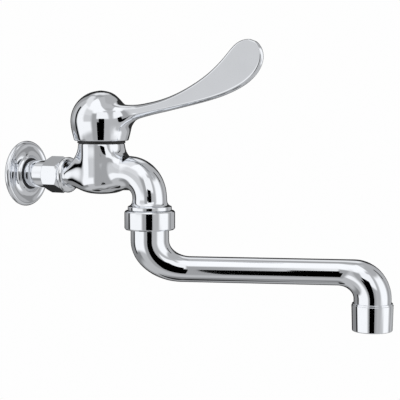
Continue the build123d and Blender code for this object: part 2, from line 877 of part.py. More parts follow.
def all_parts():
    parts = {
        "wall_flange": wall_flange(),
        "flange_grip_ring": flange_grip_ring(),
        "inlet_extension": inlet_extension(),
        "inlet_washer": inlet_washer(),
        "inlet_strainer": inlet_strainer(),
        "faucet_body": faucet_body(),
        "spout_nut": spout_nut(),
        "valve_bonnet": valve_bonnet(),
        "bonnet_o_ring": bonnet_o_ring(),
        "seat_seal": seat_seal(),
        "fixed_disc": fixed_disc(),
        "moving_disc": moving_disc(),
        "valve_spindle": valve_spindle(),
        "spindle_o_ring_lower": spindle_o_ring(stem_seal_at[0]),
        "spindle_o_ring_upper": spindle_o_ring(stem_seal_at[1]),
        "glide_washer": glide_washer(),
        "spindle_clip": spindle_clip(),
        "lever_handle": lever_handle(),
        "handle_bush": handle_bush(),
        "handle_screw": handle_screw(),
        "screw_plug": screw_plug(),
        "spout_tube": spout_tube(),
        "spout_o_ring_upper": spout_o_ring(spout_seal_at[0]),
        "spout_o_ring_lower": spout_o_ring(spout_seal_at[1]),
        "spout_split_ring": spout_split_ring(),
        "spout_bearing_washer": spout_bearing_washer(),
        "aerator_housing": aerator_housing(),
        "aerator_gasket": aerator_gasket(),
        "flow_regulator": flow_regulator(),
        "aerator_insert": aerator_insert(),
        "aerator_screens": aerator_screens(),
    }
    return parts


os.makedirs("parts", exist_ok=True)
for name, solid in all_parts().items():
    export_step(solid, f"parts/{name}.step")
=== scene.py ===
"""Wall-mounted lever sink faucet: chrome surfaces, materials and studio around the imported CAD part."""

import json
import math
from functools import partial

import bmesh
import bpy
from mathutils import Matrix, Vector


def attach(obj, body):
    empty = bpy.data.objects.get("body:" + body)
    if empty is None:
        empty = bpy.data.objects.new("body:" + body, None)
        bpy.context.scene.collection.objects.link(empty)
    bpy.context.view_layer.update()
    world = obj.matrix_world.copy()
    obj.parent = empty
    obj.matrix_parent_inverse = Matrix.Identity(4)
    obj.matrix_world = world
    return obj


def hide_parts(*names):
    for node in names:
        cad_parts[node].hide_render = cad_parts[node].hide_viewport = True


bl_info = {
    "name": "Lever sink faucet",
    "version": (1, 0, 0),
    "blender": (4, 5, 0),
    "location": "3D View > Sidebar > Faucet",
    "description": "Builds the chrome surfaces, finishes and studio of a lever sink faucet",
    "category": "Object",
}

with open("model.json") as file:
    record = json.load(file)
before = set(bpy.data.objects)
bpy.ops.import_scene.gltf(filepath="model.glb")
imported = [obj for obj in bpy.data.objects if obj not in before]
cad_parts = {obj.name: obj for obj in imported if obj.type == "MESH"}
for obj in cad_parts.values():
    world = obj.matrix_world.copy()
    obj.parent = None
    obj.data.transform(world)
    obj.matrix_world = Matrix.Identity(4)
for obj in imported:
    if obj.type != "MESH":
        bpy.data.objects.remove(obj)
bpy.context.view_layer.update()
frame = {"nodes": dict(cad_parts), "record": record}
MM = 0.001

# Axes, in metres
VALVE_X = 0.078
OUTLET_X = 0.124
UP = (0, 0, 1)
OUT = (1, 0, 0)

# The camera, solved from the photograph: its heading from straight in front, its tilt from straight down,
# its place in metres, its focal length and picture width in the photograph's pixels, and the width of the
# sensor that stands for the picture, in millimetres
CAMERA_TURN = math.radians(30.9068)
CAMERA_TILT = math.radians(90 - 4.5806)
CAMERA_PLACE = (0.66126, -0.82067, 0.06118)
FOCAL_PIXELS = 1253.26
PHOTO_PIXELS = 400
SENSOR_WIDTH = 36

# Smoothness of the turned and swept surfaces
TURN_STEPS = 96
ARC_STEP = math.radians(7)
SMOOTH_ANGLE = math.radians(35)
SUBDIVISION_LEVELS = 3

# Points round each ring of the body's and the cap's cages, and how far subdivision shrinks such a ring
CAGE_POINTS = 16
RING_SHRINK = (2 + math.cos(2 * math.pi / CAGE_POINTS)) / 3

# Brightness of the studio between its patches, and of the backdrop that the camera sees
STUDIO_SHADE = 0.57
BACKDROP = 0.99

# The materials by slot name, made by the first operator
FINISHES = {}


# Helpers for drawing, turning and selecting

def rounded(*corners):
    """A line through corners given as (x, z, radius) in millimetres, with arcs at the corners."""
    line = []
    for index, (x, z, radius) in enumerate(corners):
        here = Vector((x, z))
        if radius == 0 or index in (0, len(corners) - 1):
            line.append(here)
            continue
        before = (Vector(corners[index - 1][:2]) - here).normalized()
        after = (Vector(corners[index + 1][:2]) - here).normalized()
        half = before.angle(after) / 2
        centre = here + (before + after).normalized() * radius / math.sin(half)
        start = (here + before * radius / math.tan(half) - centre).normalized()
        end = (here + after * radius / math.tan(half) - centre).normalized()
        steps = max(2, round(start.angle(end) / ARC_STEP))
        line.extend(centre + radius * start.slerp(end, step / steps) for step in range(steps + 1))
    return line


def arc(start, through, end, steps):
    """Points on the arc through three points."""
    a, b, c = (Vector(point) for point in (start, through, end))
    first, second = b - a, c - a
    cross = 2 * (first.x * second.y - first.y * second.x)
    squares = (first.length_squared, second.length_squared)
    centre = a + Vector((second.y * squares[0] - first.y * squares[1],
                         first.x * squares[1] - second.x * squares[0])) / cross
    radius = (a - centre).length
    angles = [math.atan2(*(point - centre).yx) for point in (a, b, c)]
    turn = (angles[2] - angles[0]) % (2 * math.pi)
    if (angles[1] - angles[0]) % (2 * math.pi) > turn:
        turn -= 2 * math.pi
    return [centre + radius * Vector((math.cos(angles[0] + turn * step / steps),
                                      math.sin(angles[0] + turn * step / steps)))
            for step in range(steps + 1)]


def clear_selection():
    """Object mode with nothing selected."""
    if bpy.context.mode != "OBJECT":
        bpy.ops.object.mode_set(mode="OBJECT")
    bpy.ops.object.select_all(action="DESELECT")


def select_points(obj, test):
    """Selects the vertices of a mesh in edit mode whose place, in millimetres, passes a test."""
    bpy.ops.mesh.select_all(action="DESELECT")
    mesh = bmesh.from_edit_mesh(obj.data)
    for vertex in mesh.verts:
        vertex.select = bool(test(vertex.co / MM))
    mesh.select_flush(True)
    bmesh.update_edit_mesh(obj.data)


def start_point(name):
    """A new object in edit mode with one selected vertex at the origin."""
    clear_selection()
    bpy.ops.mesh.primitive_plane_add(size=MM, location=(0, 0, 0))
    obj = bpy.context.object
    obj.name = name
    bpy.ops.object.mode_set(mode="EDIT")
    bpy.ops.mesh.select_all(action="SELECT")
    bpy.ops.mesh.merge(type="CENTER")
    return obj


def draw_line(points, at=(0, 0, 0)):
    """Extrudes the selected vertex point by point in an upright plane, from a place in metres."""
    here = Vector((points[0][0] * MM, 0, points[0][1] * MM))
    bpy.ops.transform.translate(value=here + Vector(at))
    for x, z in points[1:]:
        there = Vector((x * MM, 0, z * MM))
        bpy.ops.mesh.extrude_region_move(TRANSFORM_OT_translate={"value": there - here})
        here = there


def turned(name, points, axis=UP, at=(0, 0, 0)):
    """A turned shape: a closed outline of (x, z) spun about an axis through a place."""
    obj = start_point(name)
    draw_line(points, at)
    bpy.ops.mesh.select_all(action="SELECT")
    bpy.ops.mesh.spin(steps=TURN_STEPS, angle=2 * math.pi, use_auto_merge=True, center=at, axis=axis)
    tidy_surface()
    return obj


def tidy_surface():
    """Closes seams and poles and points the faces outwards, then goes back to object mode."""
    bpy.ops.mesh.select_all(action="SELECT")
    bpy.ops.mesh.remove_doubles(threshold=0.002 * MM)
    bpy.ops.mesh.normals_make_consistent(inside=False)
    bpy.ops.object.mode_set(mode="OBJECT")


def select_only(obj):
    """Object mode with one object selected and active."""
    clear_selection()
    obj.select_set(True)
    bpy.context.view_layer.objects.active = obj


def smooth(obj, angle=SMOOTH_ANGLE):
    """Smooth shading, with edges sharper than the angle kept."""
    select_only(obj)
    bpy.ops.object.shade_smooth_by_angle(angle=angle)


def apply_modifier(obj, kind, **settings):
    """Adds a modifier with its settings and applies it."""
    select_only(obj)
    modifier = obj.modifiers.new(kind.title(), kind)
    for key, value in settings.items():
        setattr(modifier, key, value)
    bpy.ops.object.modifier_apply(modifier=modifier.name)


def merge_shapes(obj, other, operation):
    """Joins or crosses obj with another shape, which is used up."""
    apply_modifier(obj, "BOOLEAN", object=other, operation=operation, solver="EXACT")
    bpy.data.objects.remove(other)


def subdivided(obj):
    """Turns a modelled cage into its smooth surface."""
    apply_modifier(obj, "SUBSURF", levels=SUBDIVISION_LEVELS, render_levels=SUBDIVISION_LEVELS)
    select_only(obj)
    bpy.ops.object.shade_smooth()


def move_ring(shift, turn=0.0, centre=(0, 0, 0), scale=(1, 1, 1)):
    """Extrudes the selected ring by a shift, then turns it about Y and scales it about a centre."""
    bpy.ops.mesh.extrude_region_move(TRANSFORM_OT_translate={"value": shift})
    if turn:
        turn_about_y(turn, centre)
    if scale != (1, 1, 1):
        bpy.ops.transform.resize(value=scale, center_override=centre)


def turn_about_y(angle, centre):
    """Turns the selection about Y by the right-hand rule."""
    bpy.ops.transform.rotate(value=-angle, orient_axis="Y", orient_type="GLOBAL", center_override=centre)


def start_ring(name, count, radius, place):
    """A new object in edit mode with one selected level ring, its radius and place in metres."""
    clear_selection()
    bpy.ops.mesh.primitive_circle_add(vertices=count, radius=radius, location=(0, 0, 0))
    obj = bpy.context.object
    obj.name = name
    bpy.ops.object.mode_set(mode="EDIT")
    bpy.ops.mesh.select_all(action="SELECT")
    bpy.ops.transform.translate(value=place)
    return obj


def stack_rings(rings, axis):
    """Extrudes the selected ring, the first of the (radius, z) pairs, through the others about an axis."""
    for (old_r, old_z), (new_r, new_z) in zip(rings, rings[1:]):
        scale = new_r / old_r
        move_ring((0, 0, (new_z - old_z) * MM), 0, axis, (scale, scale, 1))


def shift_points(obj, test, shift):
    """Moves the vertices whose place passes a test by a shift in millimetres and leaves them selected."""
    select_points(obj, test)
    bpy.ops.transform.translate(value=tuple(way * MM for way in shift))


def finish_piece(obj, body, slot_name, node=None):
    """Gives a piece its slot's material and its body, and hides the CAD node that it stands for, if any."""
    obj.data.materials.clear()
    obj.data.materials.append(FINISHES[slot_name])
    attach(obj, body)
    if node:
        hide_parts(node)


# Sizes and finishes that a user may change

def length_property(name, text, millimetres):
    """A length that a user may change, with its default in millimetres."""
    return bpy.props.FloatProperty(name=name, description=text, default=millimetres * MM, unit="LENGTH",
                                   precision=5)


class FaucetSizes(bpy.types.PropertyGroup):
    """Sizes of the visible chrome surfaces."""

    spout_reach: length_property("Spout reach", "From the swivel axis to the mouth's axis", 174)
    leg_radius: length_property("Leg radius", "Radius of the spout's upright leg", 15.1)
    mouth_radius: length_property("Mouth leg radius", "Radius of the spout above the aerator", 14.5)
    arm_radius: length_property("Arm radius", "Radius of the spout's level arm", 10.15)
    spout_heading: bpy.props.FloatProperty(name="Spout heading", subtype="ANGLE", default=math.radians(22),
                                           description="How far the spout is swung from straight ahead")


class FaucetFinish(bpy.types.PropertyGroup):
    """Colours of the finishes."""

    chrome: bpy.props.FloatVectorProperty(name="Chrome", description="Colour of the plating", subtype="COLOR",
                                          size=3, min=0, max=1, default=(0.83, 0.85, 0.885))
    # The rubber colour also serves the black ring that paints the shadow under the cap
    rubber: bpy.props.FloatVectorProperty(name="Rubber", description="Colour of rings and gaskets",
                                          subtype="COLOR", size=3, min=0, max=1,
                                          default=(0.016, 0.016, 0.017))
    polish: bpy.props.FloatProperty(name="Chrome roughness", description="Blur of the chrome's reflections",
                                    min=0, max=1, default=0.035)


# Materials

def node_group(name, inputs, outputs):
    """A shader node group with float or colour sockets, and its input and output nodes."""
    group = bpy.data.node_groups.new(name, "ShaderNodeTree")
    kinds = {"float": "NodeSocketFloat", "colour": "NodeSocketColor", "vector": "NodeSocketVector"}
    for socket, kind, value in inputs:
        made = group.interface.new_socket(socket, in_out="INPUT", socket_type=kinds[kind])
        if value is not None:
            made.default_value = value
    for socket, kind in outputs:
        group.interface.new_socket(socket, in_out="OUTPUT", socket_type=kinds[kind])
    return group, group.nodes.new("NodeGroupInput"), group.nodes.new("NodeGroupOutput")


def add_node(tree, kind, settings=None, **values):
    """Adds a node with its settings and the values of its input sockets."""
    node = tree.nodes.new(kind)
    for key, value in (settings or {}).items():
        setattr(node, key, value)
    for key, value in values.items():
        node.inputs[key.replace("_", " ")].default_value = value
    return node


def add_maths(tree, operation, *values):
    """Adds a maths node fed by numbers or by the outputs of other nodes, and gives its own output."""
    node = add_node(tree, "ShaderNodeMath", {"operation": operation})
    for index, value in enumerate(values):
        if isinstance(value, (int, float)):
            node.inputs[index].default_value = value
        else:
            tree.links.new(value, node.inputs[index])
    return node.outputs[0]


def plain_material(name, **sockets):
    """A material with the given values in its shader's input sockets."""
    material = bpy.data.materials.new(name)
    material.use_nodes = True
    shader = material.node_tree.nodes["Principled BSDF"]
    for key, value in sockets.items():
        shader.inputs[key.replace("_", " ")].default_value = value
    return material


def surface_mottle_group():
    """Makes the group for slow changes of tone and roughness over a surface and fine relief for bump."""
    group, source, result = node_group(
        "Surface mottle",
        [("Position", "vector", None), ("Scale", "float", 40.0), ("Low", "float", 0.0),
         ("High", "float", 1.0), ("Fine scale", "float", 400.0)],
        [("Level", "float"), ("Mask", "float"), ("Height", "float")],
    )
    link = group.links.new
    broad = add_node(group, "ShaderNodeTexNoise", Detail=4.0, Roughness=0.55)
    fine = add_node(group, "ShaderNodeTexNoise", Detail=2.0, Roughness=0.5)
    spread = add_node(group, "ShaderNodeMapRange", From_Min=0.35, From_Max=0.65)
    level = add_node(group, "ShaderNodeMapRange")
    link(source.outputs["Position"], broad.inputs["Vector"])
    link(source.outputs["Scale"], broad.inputs["Scale"])
    link(source.outputs["Position"], fine.inputs["Vector"])
    link(source.outputs["Fine scale"], fine.inputs["Scale"])
    link(broad.outputs["Fac"], spread.inputs["Value"])
    link(spread.outputs["Result"], level.inputs["Value"])
    link(source.outputs["Low"], level.inputs["To Min"])
    link(source.outputs["High"], level.inputs["To Max"])
    link(level.outputs["Result"], result.inputs["Level"])
    link(spread.outputs["Result"], result.inputs["Mask"])
    link(fine.outputs["Fac"], result.inputs["Height"])


def finish_material(name, colour, roughness, metallic=0.0, shade=0.85, scale=60.0, fine=900.0, bump=0.0,
                    stretch=(1, 1, 1)):
    """A material whose roughness, tone and fine relief change over the surface."""
    material = plain_material(name, Metallic=metallic)
    tree = material.node_tree
    link = tree.links.new
    shader = tree.nodes["Principled BSDF"]
    place = tree.nodes.new("ShaderNodeTexCoord")
    mapping = add_node(tree, "ShaderNodeMapping", Scale=stretch)
    mottle = tree.nodes.new("ShaderNodeGroup")
    mottle.node_tree = bpy.data.node_groups["Surface mottle"]
    mottle.inputs["Scale"].default_value = scale
    mottle.inputs["Fine scale"].default_value = fine
    mottle.inputs["Low"].default_value = roughness[0]
    mottle.inputs["High"].default_value = roughness[1]
    tint = add_node(tree, "ShaderNodeMix", {"data_type": "RGBA"})
    tint.inputs["A"].default_value = (*(channel * shade for channel in colour), 1)
    tint.inputs["B"].default_value = (*colour, 1)
    link(place.outputs["Object"], mapping.inputs["Vector"])
    link(mapping.outputs["Vector"], mottle.inputs["Position"])
    link(mottle.outputs["Level"], shader.inputs["Roughness"])
    link(mottle.outputs["Mask"], tint.inputs["Factor"])
    link(tint.outputs["Result"], shader.inputs["Base Color"])
    if bump:
        relief = add_node(tree, "ShaderNodeBump", Strength=1.0, Distance=bump)
        link(mottle.outputs["Height"], relief.inputs["Height"])
        link(relief.outputs["Normal"], shader.inputs["Normal"])
    return material


def make_finishes(finish):
    """All the materials, by the record's slot names."""
    surface_mottle_group()
    return {
        "chrome_plate": finish_material("Chrome plate", tuple(finish.chrome),
                                        (finish.polish, finish.polish + 0.02), metallic=1.0, shade=0.97,
                                        scale=35.0),
        "bare_brass": finish_material("Bare brass", (0.73, 0.52, 0.24), (0.2, 0.34), metallic=1.0, shade=0.8,
                                      scale=120.0, fine=1800.0, bump=0.000006, stretch=(1, 1, 6)),
        "black_rubber": finish_material("Black rubber", tuple(finish.rubber), (0.45, 0.6), shade=0.7,
                                        scale=90.0, fine=2500.0, bump=0.00001),
        "white_ceramic": finish_material("White ceramic", (0.86, 0.84, 0.79), (0.12, 0.2), shade=0.96),
        "white_nylon": finish_material("White nylon", (0.8, 0.8, 0.77), (0.35, 0.5), shade=0.93,
                                       bump=0.000004),
        "grey_plastic": finish_material("Grey plastic", (0.42, 0.43, 0.44), (0.3, 0.42), shade=0.9,
                                        bump=0.000006),
        "fibre_washer": finish_material("Pressed fibre", (0.06, 0.055, 0.05), (0.7, 0.85), shade=0.6,
                                        scale=300.0, bump=0.00003),
        "stainless_steel": finish_material("Stainless steel", (0.56, 0.56, 0.55), (0.22, 0.36), metallic=1.0,
                                           shade=0.85, scale=150.0),
        "black_steel": finish_material("Blackened steel", (0.05, 0.05, 0.055), (0.35, 0.5), metallic=0.8,
                                       shade=0.7, scale=200.0),
    }


# Operators for the pieces

class FAUCET_OT_finishes(bpy.types.Operator):
    """Makes the materials and gives every CAD node its own"""

    bl_idname = "faucet.finishes"
    bl_label = "Finishes"

    def execute(self, context):
        FINISHES.update(make_finishes(context.scene.faucet_finish))
        slots = {entry["node"]: entry["material_slot"] for entry in frame["record"]["subparts"]}
        for name, node in frame["nodes"].items():
            node.data.materials.clear()
            node.data.materials.append(FINISHES[slots[name]])
        return {"FINISHED"}


class FAUCET_OT_wall_flange(bpy.types.Operator):
    """Turns the dished wall flange with its rolled rim and raised hub, and the rubber ring in the hub"""

    bl_idname = "faucet.wall_flange"
    bl_label = "Wall flange"

    def execute(self, context):
        outline = [
            (0, 24.0), (0, 25.9),
            *arc((0.15, 26.3), (1.9, 27.0), (3.6, 26.2), 10),
            *arc((4.1, 25.5), (4.25, 24.4), (3.9, 23.2), 6),
            *arc((3.75, 22.3), (3.55, 19.4), (4.0, 17.2), 10),
            *arc((4.3, 16.3), (5.2, 14.9), (6.3, 14.2), 8),
            *arc((6.75, 13.95), (7.0, 13.6), (6.9, 13.1), 5),
            (6.6, 12.8), (3.2, 12.8), (3.2, 11.6), (1.7, 11.6), (1.7, 23.2), (0, 24.0),
        ]
        flange = turned("wall_flange_shell", outline, axis=OUT)
        smooth(flange)
        finish_piece(flange, "faucet", "chrome_plate", "wall_flange")
        ring = turned("flange_rubber_ring", rounded(
            (3.2, 11.3, 0), (6.4, 11.3, 0), (6.4, 12.75, 0.5), (3.2, 12.75, 0), (3.2, 11.3, 0)), axis=OUT)
        smooth(ring)
        finish_piece(ring, "faucet", "black_rubber", "flange_grip_ring")
        return {"FINISHED"}


class FAUCET_OT_inlet_extension(bpy.types.Operator):
    """Makes the inlet pipe with its thread and the hexagon whose ends are turned down"""

    bl_idname = "faucet.inlet_extension"
    bl_label = "Inlet extension"

    def execute(self, context):
        pipe = turned("inlet_extension_bar", self.pipe_outline(), axis=OUT)
        hexagon = self.hexagon_bar()
        turned_ends = turned("turned_ends", rounded(
            (25.9, 0, 0), (25.9, 12.75, 0), (26.15, 12.85, 0.2), (28.4, 15.1, 0.8), (34, 15.2, 0),
            (39.7, 15.1, 0.8), (41.95, 12.85, 0.2), (42.1, 12.6, 0), (42.1, 0, 0)), axis=OUT)
        merge_shapes(hexagon, turned_ends, "INTERSECT")
        merge_shapes(pipe, hexagon, "UNION")
        smooth(pipe, math.radians(28))
        finish_piece(pipe, "faucet", "chrome_plate", "inlet_extension")
        return {"FINISHED"}

    def pipe_outline(self):
        """Half the pipe's section, with rings of thread form at the wall end."""
        start, end, bore_r, pipe_r = -14.0, 27.5, 7.5, 11.2
        pitch, turns, crest_r = 1.814, 7, 10.4775
        root_r = crest_r - 0.9
        outline = [(start, bore_r), (start, root_r)]
        for turn in range(turns):
            at = start + 0.5 + turn * pitch
            outline += [(at, root_r), (at + 0.35 * pitch, crest_r - 0.02),
                        (at + 0.65 * pitch, crest_r - 0.02), (at + pitch, root_r)]
        outline += [(-0.4, root_r), (0, pipe_r), (end, pipe_r), (end, bore_r), (start, bore_r)]
        return outline

    def hexagon_bar(self):
        """A hexagonal bar along the inlet, with its long edges rounded."""
        across_flats, start, length = 26, 26, 16.1
        clear_selection()
        bpy.ops.mesh.primitive_cylinder_add(vertices=6, radius=across_flats / math.sqrt(3) * MM,
                                            depth=length * MM, location=(0, 0, 0))
        hexagon = bpy.context.object
        hexagon.name = "inlet_hexagon"
        bpy.ops.object.mode_set(mode="EDIT")
        bpy.ops.mesh.select_all(action="SELECT")
        turn_about_y(math.pi / 2, (0, 0, 0))
        bpy.ops.transform.rotate(value=math.radians(30), orient_axis="X", orient_type="GLOBAL",
                                 center_override=(0, 0, 0))
        bpy.ops.transform.translate(value=((start + length / 2) * MM, 0, 0))
        mesh = bmesh.from_edit_mesh(hexagon.data)
        for edge in mesh.edges:
            along = edge.verts[1].co - edge.verts[0].co
            edge.select = abs(along.x) > length / 2 * MM
        mesh.select_flush_mode()
        for face in mesh.faces:
            face.select = False
        bmesh.update_edit_mesh(hexagon.data)
        bpy.ops.mesh.select_mode(type="EDGE")
        bpy.ops.mesh.bevel(offset=0.35 * MM, segments=3, affect="EDGES")
        bpy.ops.mesh.select_mode(type="VERT")
        bpy.ops.object.mode_set(mode="OBJECT")
        return hexagon


class FAUCET_OT_body(bpy.types.Operator):
    """Models the cast body from one cage, and turns its inlet collar and a black ring under the cap that
    paints the shadow gap below the skirt
    """

    bl_idname = "faucet.body"
    bl_label = "Faucet body"

    # Lower and upper edge of the chamber's holes for the outlet and the neck, in millimetres
    HOLE = (-8.4, 18.6)
    # Radius of the cages of both tubes, and the middles of their first rings, in metres
    TUBE_R = 13.6 / RING_SHRINK * MM
    OUTLET_START = Vector((VALVE_X + 0.0235, 0, 3.2 * MM))
    NECK_START = Vector((0.052, 0, 0.4 * MM))

    def execute(self, context):
        body = self.cast_form()
        inlet_collar = turned("body_inlet_collar", [
            (42.5, 8.0), (42.5, 13.2),
            *arc((42.6, 13.6), (44.6, 14.5), (47.6, 12.6), 16),
            *arc((48.0, 12.0), (48.5, 10.9), (48.6, 9.8), 6), (48.6, 8.0), (42.5, 8.0)], axis=OUT)
        smooth(inlet_collar)
        for piece in (body, inlet_collar):
            finish_piece(piece, "faucet", "chrome_plate", "faucet_body")
        # A black ring set in the groove under the cap's skirt: painted shade that stands in for the shadow
        # gap there
        shadow_ring = turned("body_groove_shadow_ring", rounded(
            (18.0, 26.5, 0), (19.2, 26.5, 0.3), (19.2, 28.1, 0.3), (18.0, 28.1, 0), (18.0, 26.5, 0)),
            at=(VALVE_X, 0, 0))
        smooth(shadow_ring)
        finish_piece(shadow_ring, "faucet", "black_rubber")
        return {"FINISHED"}

    def cast_form(self):
        """The chamber's rings, then the outlet and the neck bridged into holes in its sides."""
        low, high = self.HOLE
        wall = 18.7 / RING_SHRINK
        rings = [(16.9, 30.2), (18.4, 30.2), (wall, 29.4), (wall, 28.9), (18.9, 28.3), (17.9, 27.3),
                 (17.9, 26.9), (18.9, 26.2), (wall, 25.7), (wall, high), (19.3, 12.6), (20.0, 6.0),
                 (20.7, -1.0), (20.0, low), (14.0, -13.2), (5.5, -14.6)]
        axis = Vector((VALVE_X, 0, 0))
        top_r, top_z = rings[0]
        body = start_ring("faucet_body_casting", CAGE_POINTS, top_r * MM,
                          axis + Vector((0, 0, top_z * MM)))
        stack_rings(rings, axis)
        bpy.ops.mesh.merge(type="CENTER")
        self.open_side(body, 1)
        self.open_side(body, -1)

        self.bridge(body, self.OUTLET_START, 1)
        self.outlet_bend(body)
        self.bridge(body, self.NECK_START, -1)
        # The neck's first ring is pressed oval, then carried on to the inlet collar
        select_points(body, lambda p: p.x < 53)
        bpy.ops.transform.resize(value=(1, 1, 0.77), center_override=self.NECK_START)
        for drop, scale in ((0.4, 0.97), (0.3, 0.97), (0, 1)):
            move_ring((-1.5 * MM, 0, -drop * MM), 0, self.NECK_START, (1, scale, scale))
        bpy.ops.mesh.fill()
        tidy_surface()
        subdivided(body)
        return body

    def open_side(self, body, side):
        """Cuts a hole for a tube in one side of the chamber and shapes the hole's rim."""
        low, high = self.HOLE
        centre_x = VALVE_X / MM
        bpy.ops.mesh.select_all(action="DESELECT")
        bpy.ops.mesh.select_mode(type="FACE")
        mesh = bmesh.from_edit_mesh(body.data)
        for face in mesh.faces:
            place = face.calc_center_median() / MM - Vector((centre_x, 0, 0))
            face.select = bool(side * place.x > abs(place.y) and low < place.z < high)
        bmesh.update_edit_mesh(body.data)
        bpy.ops.mesh.delete(type="FACE")
        bpy.ops.mesh.select_mode(type="VERT")
        # The corners, which round the hole; the outlet's upper ones go out and up for its shoulders
        for lift, height in ((-1.0, high), (1.0, low)):
            for across in (-1, 1):
                if side > 0 and height == high:
                    shift = (1.9, -across * 0.4, 0.6)
                else:
                    shift = (side * 0.9, -across * 0.7, lift)
                shift_points(body, lambda p: 12 < side * (p.x - centre_x) < 16 and across * p.y > 12
                             and abs(p.z - height) < 0.5, shift)
        # The middles of the lower and the upper edge
        shift_points(body, lambda p: side * (p.x - centre_x) > 17 and abs(p.z - low) < 0.5,
                     (-side * 1.2, 0, -2.4))
        shift_points(body, lambda p: side * (p.x - centre_x) > 17 and abs(p.z - high) < 0.5,
                     (side * 0.5, 0, 1.2))
        # The upright edges, set wider for the neck, where the columns behind them are drawn in
        shift_points(body, lambda p: 12 < side * (p.x - centre_x) < 16 and low + 1 < p.z < 8,
                     (side * (1.2 if side > 0 else 2.5), 0, 0))
        if side < 0:
            bpy.ops.transform.resize(value=(1, 1.09, 1), center_override=(VALVE_X, 0, 0))
            select_points(body, lambda p: 6 < centre_x - p.x < 10 and low + 1 < p.z < 8)
            bpy.ops.transform.resize(value=(1, 0.935, 1), center_override=(VALVE_X, 0, 0))

    def bridge(self, body, centre, side):
        """Adds a ring that faces along the inlet and bridges it to the open side of the chamber."""
        bpy.ops.mesh.select_all(action="DESELECT")
        bpy.ops.mesh.primitive_circle_add(vertices=CAGE_POINTS, radius=self.TUBE_R, location=centre,
                                          rotation=(0, math.pi / 2, 0))
        mesh = bmesh.from_edit_mesh(body.data)
        # The hole's rim joins the new ring in the selection, but not the chamber's open top
        for vertex in mesh.verts:
            if vertex.is_boundary and side * (vertex.co.x - VALVE_X) > 5 * MM and vertex.co.z < 25 * MM:
                vertex.select = True
        mesh.select_flush(True)
        bmesh.update_edit_mesh(body.data)
        bpy.ops.mesh.bridge_edge_loops()

    def outlet_bend(self, body):
        """Carries the outlet's ring level, round the bend and down into its collar."""
        start = self.OUTLET_START
        bend_r, steps = 18.6 * MM, 8
        bend_start = Vector((OUTLET_X - bend_r, 0, start.z))
        select_points(body, lambda p: abs(p.x - start.x / MM) < 0.05)
        move_ring(bend_start - start)
        middle = bend_start - Vector((0, 0, bend_r))
        here = bend_start
        for step in range(1, steps + 1):
            angle = math.pi / 2 * step / steps
            there = middle + bend_r * Vector((math.sin(angle), 0, math.cos(angle)))
            move_ring(there - here, math.pi / 2 / steps, there)
            here = there
        collar = [(13.6, -15.4), (13.6, -17.2), (13.85, -19.3), (14.8, -21.0), (16.2, -21.9), (17.15, -22.2),
                  (17.3, -22.6), (17.3, -24.9), (17.2, -25.2), (16.8, -25.25), (16.8, -25.7), (16.8, -32.2),
                  (16.4, -32.5), (12.0, -32.5)]
        stack_rings(collar, (OUTLET_X, 0, 0))
        bpy.ops.mesh.fill()


class FAUCET_OT_spout_nut(bpy.types.Operator):
    """Turns the round union nut with its chamfers"""

    bl_idname = "faucet.spout_nut"
    bl_label = "Spout nut"

    def execute(self, context):
        nut = turned("spout_union_nut", rounded(
            (15.25, -38.5, 0), (15.25, -40.5, 0.3), (18.9, -40.5, 0.4), (19.9, -39.4, 0.8),
            (19.9, -26.6, 0.8), (18.9, -25.5, 0.4), (17.5, -25.5, 0.25), (17.05, -26.0, 0.2),
            (17.05, -37.4, 0), (15.25, -37.4, 0), (15.25, -38.5, 0)), at=(OUTLET_X, 0, 0))
        smooth(nut, math.radians(50))
        finish_piece(nut, "faucet", "chrome_plate", "spout_nut")
        return {"FINISHED"}


def bend_edge(start_x, curve_end_x, end_x, drop, share):
    """The point at a share of the way along a quarter ellipse that starts downwards and a level run."""
    curve_share = (curve_end_x - start_x) / (end_x - start_x)
    angle = math.pi / 2 * min(1.0, share / curve_share)
    x = curve_end_x - (curve_end_x - start_x) * math.cos(angle)
    if share > curve_share:
        x += (end_x - curve_end_x) * (share - curve_share) / (1 - curve_share)
    return x, -drop * math.sin(angle)


def bend_rings(leg, arm, outer_run, inner_run, drop, steps):
    """Outer and inner points of the rings round a bend, from an upright leg to a level arm."""
    rings = []
    for step in range(steps + 1):
        share = step / steps
        rings.append((Vector(bend_edge(-leg, outer_run, inner_run, drop + arm, share)),
                      Vector(bend_edge(leg, inner_run, inner_run, drop - arm, share))))
    return rings


